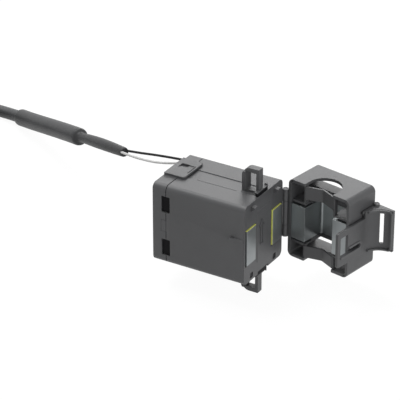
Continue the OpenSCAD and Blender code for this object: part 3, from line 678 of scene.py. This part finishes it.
def ferrule_profile(radius):
    """A crimped ferrule: a bell mouth, five crimps and a plain tip."""
    rows = [(0.0, 0.86), (0.02, 1.0), (0.2, 1.0), (0.24, 0.9)]
    for k in range(5):
        rows += [(0.3 + 0.1 * k, 0.82), (0.35 + 0.1 * k, 0.9)]
    return [(s, radius * r) for s, r in rows + [(0.84, 0.94), (0.97, 0.94), (1.0, 0.8)]]


class TRANSFORMER_OT_leads(bpy.types.Operator):
    """Lay the two lead wires, the shrink sleeve, the coiled cable, its tie and its bare ends"""

    bl_idname = "transformer.leads"
    bl_label = "Leads"

    def execute(self, context):
        size = sizes()
        mesh = swept("shrink_sleeve", smooth_line(SLEEVE_WAY, 8), sleeve_profile(),
                     ripple=sleeve_ripple)
        sleeve = add_piece("shrink_sleeve", mesh, "housing", "grey_sleeve")
        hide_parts("heat_shrink_sleeve")
        black = round_cord("black_wire", smooth_line(BLACK_WAY, 4), size.wire_d, "housing",
                           "black_insulation")
        white = round_cord("white_wire", smooth_line(WHITE_WAY, 4), size.wire_d, "housing",
                           "white_insulation")
        for wire, way, cad_node in ((black, BLACK_WAY, "black_lead_wire"),
                                    (white, WHITE_WAY, "white_lead_wire")):
            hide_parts(cad_node)
        line = (smooth_line(CABLE_WAY, 6)[:-1] + coil_line(size.coil_steps)
                + smooth_line(TAIL_WAY, 5))
        cable = round_cord("cable", line, size.cable_d, "housing", "cable_sheath")
        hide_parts("lead_cable", "cable_coil", "cable_tail")
        ends = []
        for side, cad_node, slot in ((1, "black_wire_end", "black_insulation"),
                                     (-1, "white_wire_end", "white_insulation")):
            ends += self.wire_end(side, cad_node, slot)
        tie = self.tie()
        return {"FINISHED"}

    def wire_end(self, side, cad_node, slot):
        """One core of the cable, stripped of its sheath and ending in a crimped ferrule."""
        start = TAIL_WAY[-1] + MM * Vector((-3, side * 1.4, -0.4))
        knee, middle, stop = metres([
            (x, TAIL_Y + side * spread, z)
            for x, spread, z in ((-217, 1.7, -32.2), (-208, 3.7, -33.6), (-198, 5.4, -34))])
        core = round_cord(cad_node + "_core", smooth_line([start, knee, middle, stop], 6),
                          sizes().wire_d, "housing", slot)
        tip = stop + Vector((FERRULE_LENGTH, 0, 0))
        mesh = swept(cad_node + "_ferrule", [stop, stop.lerp(tip, 0.5), tip],
                     ferrule_profile(FERRULE_R), sides=32)
        ferrule = add_piece(cad_node + "_ferrule", mesh, "housing", "tinned_metal")
        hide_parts(cad_node)
        return [core, ferrule]

    def tie(self):
        """A broad strap round the coil."""
        return rounded_copy("coil_tie", "coil_strap", "housing", "black_plastic",
                            sizes().thin_edge)


# ---------------------------------------------------------------- housing

# Places and sizes in millimetres
PANEL_X = -0.46
TOP_Z, PLATE_Z = 22.0, 23.3
FRONT_NOTCH = ((-1.7, -5.2, -22.8), (-0.2, 5.2, -20.5))
PEG_TIP, PEG_W = [(-0.9, 20.4), (1.6, 20.0), (1.6, 19.0), (-0.9, 17.3)], 3
EAR_BACK, EAR_FRONT, EAR_HALF, EAR_CHAMFER = -48.7, -43.9, 4.4, 0.8
EAR_Y, EAR_T = 17.95, 0.55
SEAM_X, SEAM_Y, SEAM_Z, SEAM_BEND, SEAM_D = -46.14, 19.04, 21.79, 2.8, 0.42
# A raised line's sink into the face, the share by which its top is smaller, and its rounding
LINE_SINK, LINE_TAPER, LINE_EDGE = 0.05, 0.03, 0.04


def block(name, low, high, slot):
    """A small block on the housing, between two corners."""
    mesh = box_mesh(name, *metres([low, high]))
    return round_edges(add_piece(name, mesh, "housing", slot), FINE_EDGE)


def prism(name, ring, way, slot):
    """A flat outline on the housing, drawn out along a vector."""
    bm = bmesh.new()
    ends = [[bm.verts.new(spot + shift) for spot in metres(ring)]
            for shift in metres([(0, 0, 0), way])]
    skin(bm, ends)
    return round_edges(add_piece(name, to_mesh(name, bm), "housing", slot), FINE_EDGE)


def raised_line(name, points, out, width, height):
    """A thin raised line along points of a flat face of the housing, which looks along out."""
    bm = bmesh.new()
    points, out = metres(points), Vector(out)
    half, sink, height = width / 2 * MM, LINE_SINK * MM, height * MM
    for start, end in zip(points, points[1:]):
        along = (end - start).normalized() * half
        across = out.cross(along)
        first, last = start - along, end + along
        foot = [first - across, last - across, last + across, first + across]
        middle = sum(foot, Vector()) / 4
        low = [bm.verts.new(spot - out * sink) for spot in foot]
        high = [bm.verts.new(spot.lerp(middle, LINE_TAPER) + out * height) for spot in foot]
        skin(bm, [low, high])
    piece = add_piece(name, to_mesh(name, bm), "housing", "grey_plastic")
    return round_edges(piece, LINE_EDGE * MM)


class TRANSFORMER_OT_housing(bpy.types.Operator):
    """Finish the housing and its cover, with their pegs, hoods, ears, seam and raised lines. Its
    black ears, blocks and seam cord paint shade
    """

    bl_idname = "transformer.housing"
    bl_label = "Housing"

    def execute(self, context):
        edge = sizes().thin_edge
        rounded_copy("main_housing", "housing_shell", "housing", "grey_plastic", edge,
                     cuts=[FRONT_NOTCH])
        self.peg_tips()
        self.hoods()
        rounded_copy("rear_cover", "back_cover", "housing", "grey_plastic", edge)
        self.window_shade_ears()
        self.seam()
        self.raised_lines()
        return {"FINISHED"}

    def peg_tips(self):
        """The wedge-shaped tips of the two upper pegs."""
        for name, y in (("hinge", 10), ("latch", -13)):
            prism(f"peg_tip_{name}", [(x, y, z) for x, z in PEG_TIP], (0, PEG_W, 0),
                  "grey_plastic")

    def hoods(self):
        """The thin hoods over the dark gaps behind the front's top and bottom edges, with black
        blocks in the gaps as painted shade.
        """
        for name, end, inner in (("upper", 1, 21.2), ("lower", -1, 20.7)):
            for part, (x0, x1), (y0, y1), levels, slot in (
                    # Painted shade: a black block fills each dark gap under a hood
                    ("opening_shade", (-2.9, -1.5), (-4.9, 4.9), (inner, 23.55), "black_plastic"),
                    ("hood", (-3.3, -1.5), (-5.2, 5.2), (23.5, 24.0), "grey_plastic"),
                    ("hood_side", (-3.3, -1.5), (4.9, 5.35), (21.5, 24.9), "grey_plastic")):
                z0, z1 = sorted(level * end for level in levels)
                block(f"{name}_{part}", (x0, y0, z0), (x1, y1, z1), slot)

    def window_shade_ears(self):
        """The black ears of the bobbin's frame, which snap into the four side windows. Their matt
        black paints the deep shade inside the windows.
        """
        inner, outer, shoulder = (EAR_BACK + EAR_CHAMFER, EAR_FRONT - EAR_CHAMFER,
                                  EAR_HALF - EAR_CHAMFER)
        outline = [(EAR_BACK, -EAR_HALF), (EAR_FRONT, -EAR_HALF), (EAR_FRONT, shoulder),
                   (outer, EAR_HALF), (inner, EAR_HALF), (EAR_BACK, shoulder)]
        for side_name, side in (("hinge", 1), ("latch", -1)):
            for level_name, level in (("upper", 11.7), ("lower", -12.7)):
                prism(f"window_shade_ear_{side_name}_{level_name}",
                      [(x, side * EAR_Y, z + level) for x, z in outline],
                      (0, side * EAR_T, 0), "black_plastic")

    def seam(self):
        """A black cord in the seam of the cover, between the windows and the tongues, shaped as a
        sealing cord. Its black paints the shade in the seam's gap.
        """
        bend = arc((SEAM_Y - SEAM_BEND, SEAM_Z - SEAM_BEND), SEAM_BEND, 0, 90)
        for name, end, level in (("upper", 1, 16.6), ("lower", -1, 17.6)):
            outline = [(SEAM_Y, level), *bend,
                       *[(-y, z) for y, z in reversed(bend)], (-SEAM_Y, level)]
            self.seam_shade_cord(f"seam_{name}", [(y, z * end) for y, z in outline])
        for name, side in (("hinge", 1), ("latch", -1)):
            for part, low, high in (("side", 2.9, 6.8), ("low", -7.8, -3.9)):
                self.seam_shade_cord(f"seam_{name}_{part}",
                               [(side * SEAM_Y, low), (side * SEAM_Y, high)])

    def seam_shade_cord(self, name, outline):
        """One stretch of the black cord that paints the seam's shade, along points (y, z) of the
        seam.
        """
        round_cord(name, metres([(SEAM_X, y, z) for y, z in outline]), SEAM_D * MM, "housing",
                   "black_foam", resolution=2)

    def raised_lines(self):
        """The arrow between the pole faces, and the lines on the cover's plate and on the top."""
        y, shaft, head = -2.2, 1.1, 2.2
        foot, neck, tip = -5, 5.2, 8.6
        arrow = [(y - shaft, foot), (y - shaft, neck), (y - head, neck), (y, tip),
                 (y + head, neck), (y + shaft, neck), (y + shaft, foot), (y - shaft, foot)]
        raised_line("direction_arrow", [(PANEL_X, across, up) for across, up in arrow],
                    (1, 0, 0), 0.6, 0.4)
        raised_line("plate_edge", [(-46.2, 4.45, PLATE_Z), (-43.2, 4.45, PLATE_Z),
                                   (-43.2, -2.4, PLATE_Z)], (0, 0, 1), 0.5, 0.35)
        raised_line("strip_edge", [(-36.5, -4.8, TOP_Z), (-13.6, -4.8, TOP_Z)],
                    (0, 0, 1), 0.35, 0.12)


# The film stops short here, at the bottom of each pole
FILM_NOTCH = ((-1.3, -20, -12.0), (0.6, 20, -11.2))
# Rounding along the edges of the thinnest pieces
FILM_EDGE, BOARD_EDGE, SPRING_EDGE, LEVER_EDGE = 0.06 * MM, 0.08 * MM, 0.05 * MM, 0.08 * MM


class TRANSFORMER_OT_core(bpy.types.Operator):
    """Finish the long half of the core and the yellow film round its legs"""

    bl_idname = "transformer.core"
    bl_label = "Long core"

    def execute(self, context):
        rounded_copy("long_core_half", "long_core", "housing", "core_steel", sizes().thin_edge)
        for cad_node in ("latch_leg_liner", "hinge_leg_liner"):
            rounded_copy(cad_node, cad_node.replace("liner", "film"), "housing", "yellow_film",
                         FILM_EDGE, cuts=[FILM_NOTCH])
        return {"FINISHED"}


class TRANSFORMER_OT_winding(bpy.types.Operator):
    """Finish the winding on its bobbin, the terminal board and what is on it"""

    bl_idname = "transformer.winding"
    bl_label = "Winding"

    def execute(self, context):
        edge = sizes().thin_edge
        rounded_copy("bobbin", "winding_bobbin", "housing", "black_plastic", edge)
        rounded_copy("wire_clamp", "lead_clamp", "housing", "black_plastic", edge)
        rounded_copy("terminal_board", "lead_board", "housing", "board", BOARD_EDGE)
        rounded_copy("terminal_posts", "lead_posts", "housing", "tinned_metal", FINE_EDGE)
        dress("winding", "copper_winding")
        dress("winding_wrap", "yellow_film")
        dress("foam_pad", "black_foam")
        return {"FINISHED"}


# ---------------------------------------------------------------- jaw and latch

class TRANSFORMER_OT_jaw(bpy.types.Operator):
    """Finish the jaw, the insert that carries the short core, and the two retaining bands"""

    bl_idname = "transformer.jaw"
    bl_label = "Jaw"

    def execute(self, context):
        edge = sizes().thin_edge
        rounded_copy("jaw_shell", "jaw_case", "jaw", "grey_plastic", edge)
        rounded_copy("core_carrier", "jaw_insert", "jaw", "grey_plastic", edge,
                     material="jaw_insert")
        for cad_node in ("upper_retaining_band", "lower_retaining_band"):
            rounded_copy(cad_node, cad_node.replace("retaining_band", "finger_band"), "jaw",
                         "grey_plastic", edge)
        rounded_copy("short_core_half", "short_core", "jaw", "core_steel", edge)
        rounded_copy("core_spring", "leaf_spring", "jaw", "pin_steel", SPRING_EDGE)
        return {"FINISHED"}


# Millimetres on the lever as it lies with the jaw shut. The jaw then turns about the hinge.
HINGE_Y, JAW_OPEN = 21.25, math.radians(80)
LEVER_FACE_Y = -21.35
# The arm: its free end, its upper and lower edges and its thickness
ARM_END, ARM_TOP, ARM_BOTTOM, ARM_T = -11.4, 8.7, -10.6, 1.5
ARM_ROUND, ARM_STEPS = 1.3 * MM, 5
# The finger tab, which curls away from the face past this place, round this radius
TAB_X, TAB_R = 9.5, 10.25
TAB_TOP, TAB_BOTTOM, TAB_ROUND = 11.9, -9.9, 1.5
# The slot in the arm: the middle of its round end, and its radius
SLOT_X, SLOT_Z, SLOT_R = 5.7, -4.3, 1.8
# A rim's sink into the face, and the half width of its top as a share of that of its foot
RIM_SINK, RIM_TAPER, RIM_EDGE = 0.2, 0.9, 0.12 * MM
# Points this close to a corner of the arm belong to it
NEAR = 0.02 * MM


def on_lever(along, z, height):
    """A point of the opened lever: distance along its outer face, level, height off the face."""
    if along <= TAB_X:
        spot = Vector((along, LEVER_FACE_Y - height, z))
    else:
        turn = (along - TAB_X) / TAB_R
        r = TAB_R - height
        spot = Vector((TAB_X + r * math.sin(turn), LEVER_FACE_Y - TAB_R + r * math.cos(turn), z))
    spot.y -= HINGE_Y
    spot.rotate(Matrix.Rotation(JAW_OPEN, 3, "Z"))
    spot.y += HINGE_Y
    return spot * MM


def lever_rim(name, line, width, height):
    """A raised rim along a line of (distance along the face, level) on the lever."""
    section = ((-1, -RIM_SINK), (1, -RIM_SINK), (RIM_TAPER, height), (-RIM_TAPER, height))
    bm = bmesh.new()
    rings = []
    for i, (s, z) in enumerate(line):
        (s0, z0), (s1, z1) = line[max(0, i - 1)], line[min(len(line) - 1, i + 1)]
        along = Vector((s1 - s0, z1 - z0)).normalized() * width / 2
        rings.append([bm.verts.new(on_lever(s - k * along.y, z + k * along.x, h))
                      for k, h in section])
    skin(bm, rings)
    return round_edges(add_piece(name, to_mesh(name, bm), "latch", "grey_plastic"), RIM_EDGE)


class TRANSFORMER_OT_latch(bpy.types.Operator):
    """Finish the latch lever with its rims, and the two steel pins"""

    bl_idname = "transformer.latch"
    bl_label = "Latch and pins"

    def execute(self, context):
        lever = rounded_copy("latch_lever", "lever", "latch", "grey_plastic", LEVER_EDGE,
                             material="lever_plastic")
        self.round_front(lever.data)
        self.slot_rim()
        self.tab_rim()
        rounded_copy("latch_pin", "lever_pin", "jaw", "pin_steel", FINE_EDGE)
        rounded_copy("hinge_pin", "jaw_pin", "housing", "pin_steel", FINE_EDGE)
        return {"FINISHED"}

    def round_front(self, mesh):
        """Round corners at the free end of the lever's arm."""
        corners = [[on_lever(ARM_END, z, h) for h in (0, -ARM_T)] for z in (ARM_TOP, ARM_BOTTOM)]
        bm = bmesh.new()
        bm.from_mesh(mesh)
        edges = [edge for edge in bm.edges if any(
            all(min((v.co - spot).length for spot in pair) < NEAR for v in edge.verts)
            for pair in corners)]
        if len(edges) < len(corners):
            raise RuntimeError("the lever's front corners were not found")
        bmesh.ops.bevel(bm, geom=edges, offset=ARM_ROUND, segments=ARM_STEPS, profile=0.5,
                        affect="EDGES")
        for face in bm.faces:
            face.smooth = True
        bm.to_mesh(mesh)
        bm.free()

    def slot_rim(self):
        """The rim round the slot in the lever's arm."""
        top, bottom = SLOT_Z + SLOT_R, SLOT_Z - SLOT_R
        line = [(-2.4, top), (2, top),
                *arc((SLOT_X, SLOT_Z), SLOT_R, 90, -90, steps=10),
                (2, bottom), (-3, bottom), (-8.8, bottom)]
        lever_rim("slot_rim", line, width=1.3, height=0.4)

    def tab_rim(self):
        """The rim along the outer edges of the finger tab."""
        start, end, steps = TAB_X + 2.5, TAB_X + TAB_R * math.pi / 2 - 0.6, 12
        bend = end - TAB_ROUND
        edge = [start + (bend - start) * k / steps for k in range(steps)]
        line = [*[(s, TAB_TOP) for s in edge],
                *arc((bend, TAB_TOP - TAB_ROUND), TAB_ROUND, 90, 0),
                *arc((bend, TAB_BOTTOM + TAB_ROUND), TAB_ROUND, 0, -90),
                *[(s, TAB_BOTTOM) for s in reversed(edge)]]
        lever_rim("tab_rim", line, width=1.1, height=1.0)


# ---------------------------------------------------------------- stage

FLOOR_HALF, FLOOR_GAP = 4, 0.02 * MM
# Greys of the floor: what it reflects onto the part, its share of the shadows, and its own glow
FLOOR_LIT, FLOOR_SHADOW, FLOOR_GLOW = 0.45, 0.10, 0.94
ROOM_LIGHT, BACKDROP = 0.36, 1


def area_light(name, direction, distance, size, power):
    """A rectangular lamp that looks at the origin."""
    data = bpy.data.lights.new(name, "AREA")
    data.shape = "RECTANGLE"
    data.size, data.size_y = size
    data.energy = power
    light = bpy.data.objects.new(name, data)
    bpy.context.scene.collection.objects.link(light)
    light.location = Vector(direction).normalized() * distance
    light.rotation_euler = (-light.location).to_track_quat("-Z", "Y").to_euler()


def grey_shader(tree, kind, grey, strength=None):
    """A plain shader of one grey."""
    node = tree.nodes.new(kind)
    node.inputs["Color"].default_value = (grey, grey, grey, 1)
    if strength is not None:
        node.inputs["Strength"].default_value = strength
    return node


def seen_directly(tree):
    """1 where the camera, a reflection or glass sees the backdrop, 0 where it gives light."""
    path = tree.nodes.new("ShaderNodeLightPath")
    total = path.outputs["Is Camera Ray"]
    for ray in ("Is Glossy Ray", "Is Transmission Ray"):
        both = tree.nodes.new("ShaderNodeMath")
        both.operation = "MAXIMUM"
        tree.links.new(total, both.inputs[0])
        tree.links.new(path.outputs[ray], both.inputs[1])
        total = both.outputs[0]
    return total


def light_and_look(tree, output, light, look):
    """Lights the part with one shader and shows another to the camera."""
    out = tree.nodes.new(output)
    choose = tree.nodes.new("ShaderNodeMixShader")
    tree.links.new(seen_directly(tree), choose.inputs[0])
    tree.links.new(light.outputs[0], choose.inputs[1])
    tree.links.new(look.outputs[0], choose.inputs[2])
    tree.links.new(choose.outputs[0], out.inputs["Surface"])


class TRANSFORMER_OT_stage(bpy.types.Operator):
    """Lay the pale floor and set the soft studio lights"""

    bl_idname = "transformer.stage"
    bl_label = "Stage"

    def execute(self, context):
        context.scene.view_settings.view_transform = "Standard"
        self.floor()
        self.world(context.scene)
        area_light("Key light", (-0.45, 0.12, 0.85), 1.6, (1.0, 0.9), 14)
        area_light("Fill light", (0.95, -0.30, 0.22), 1.8, (1.4, 1.2), 13)
        area_light("Back light", (-0.35, 0.85, 0.45), 1.6, (0.8, 0.6), 5.5)
        return {"FINISHED"}

    def floor(self):
        """A pale floor just under the part, white to the camera but for the faint shadows."""
        bm = bmesh.new()
        bmesh.ops.create_grid(bm, x_segments=8, y_segments=8, size=FLOOR_HALF)
        bmesh.ops.translate(bm, verts=bm.verts, vec=(0, 0, CAD_BOX[0][2] - FLOOR_GAP))
        mesh = to_mesh("floor", bm)
        floor = bpy.data.objects.new("floor", mesh)
        bpy.context.scene.collection.objects.link(floor)
        material = bpy.data.materials.new("Pale floor")
        material.use_nodes = True
        tree = material.node_tree
        tree.nodes.clear()
        shadows = grey_shader(tree, "ShaderNodeBsdfDiffuse", FLOOR_SHADOW)
        glow = grey_shader(tree, "ShaderNodeEmission", FLOOR_GLOW, 1)
        both = tree.nodes.new("ShaderNodeAddShader")
        tree.links.new(shadows.outputs[0], both.inputs[0])
        tree.links.new(glow.outputs[0], both.inputs[1])
        light_and_look(tree, "ShaderNodeOutputMaterial",
                       grey_shader(tree, "ShaderNodeBsdfDiffuse", FLOOR_LIT), both)
        mesh.materials.append(material)

    def world(self, scene):
        """A white backdrop that lights the part like a softly lit room."""
        scene.world = bpy.data.worlds.new("Studio")
        scene.world.use_nodes = True
        tree = scene.world.node_tree
        tree.nodes.clear()
        light_and_look(tree, "ShaderNodeOutputWorld",
                       grey_shader(tree, "ShaderNodeBackground", 1, ROOM_LIGHT),
                       grey_shader(tree, "ShaderNodeBackground", 1, BACKDROP))


# ---------------------------------------------------------------- panel, registration and run

OPERATORS = (TRANSFORMER_OT_camera, TRANSFORMER_OT_leads, TRANSFORMER_OT_housing,
             TRANSFORMER_OT_core, TRANSFORMER_OT_winding, TRANSFORMER_OT_jaw,
             TRANSFORMER_OT_latch, TRANSFORMER_OT_stage)


class TRANSFORMER_PT_build(bpy.types.Panel):
    """Steps and sizes of the current transformer"""

    bl_idname = "TRANSFORMER_PT_build"
    bl_label = "Current transformer"
    bl_space_type = "VIEW_3D"
    bl_region_type = "UI"
    bl_category = "Transformer"

    def draw(self, context):
        for step in OPERATORS:
            self.layout.operator(step.bl_idname)
        for group in (context.scene.transformer_sizes, context.scene.transformer_colours):
            box = self.layout.box()
            for name in group.__annotations__:
                box.prop(group, name)


CLASSES = (TransformerSizes, TransformerColours, *OPERATORS, TRANSFORMER_PT_build)


def register():
    for cls in CLASSES:
        bpy.utils.register_class(cls)
    bpy.types.Scene.transformer_sizes = PointerProperty(type=TransformerSizes)
    bpy.types.Scene.transformer_colours = PointerProperty(type=TransformerColours)


def unregister():
    del bpy.types.Scene.transformer_colours
    del bpy.types.Scene.transformer_sizes
    for cls in reversed(CLASSES):
        bpy.utils.unregister_class(cls)


def main():
    register()
    for step in OPERATORS:
        group, name = step.bl_idname.split(".")
        getattr(getattr(bpy.ops, group), name)()


if __name__ == "__main__":
    main()
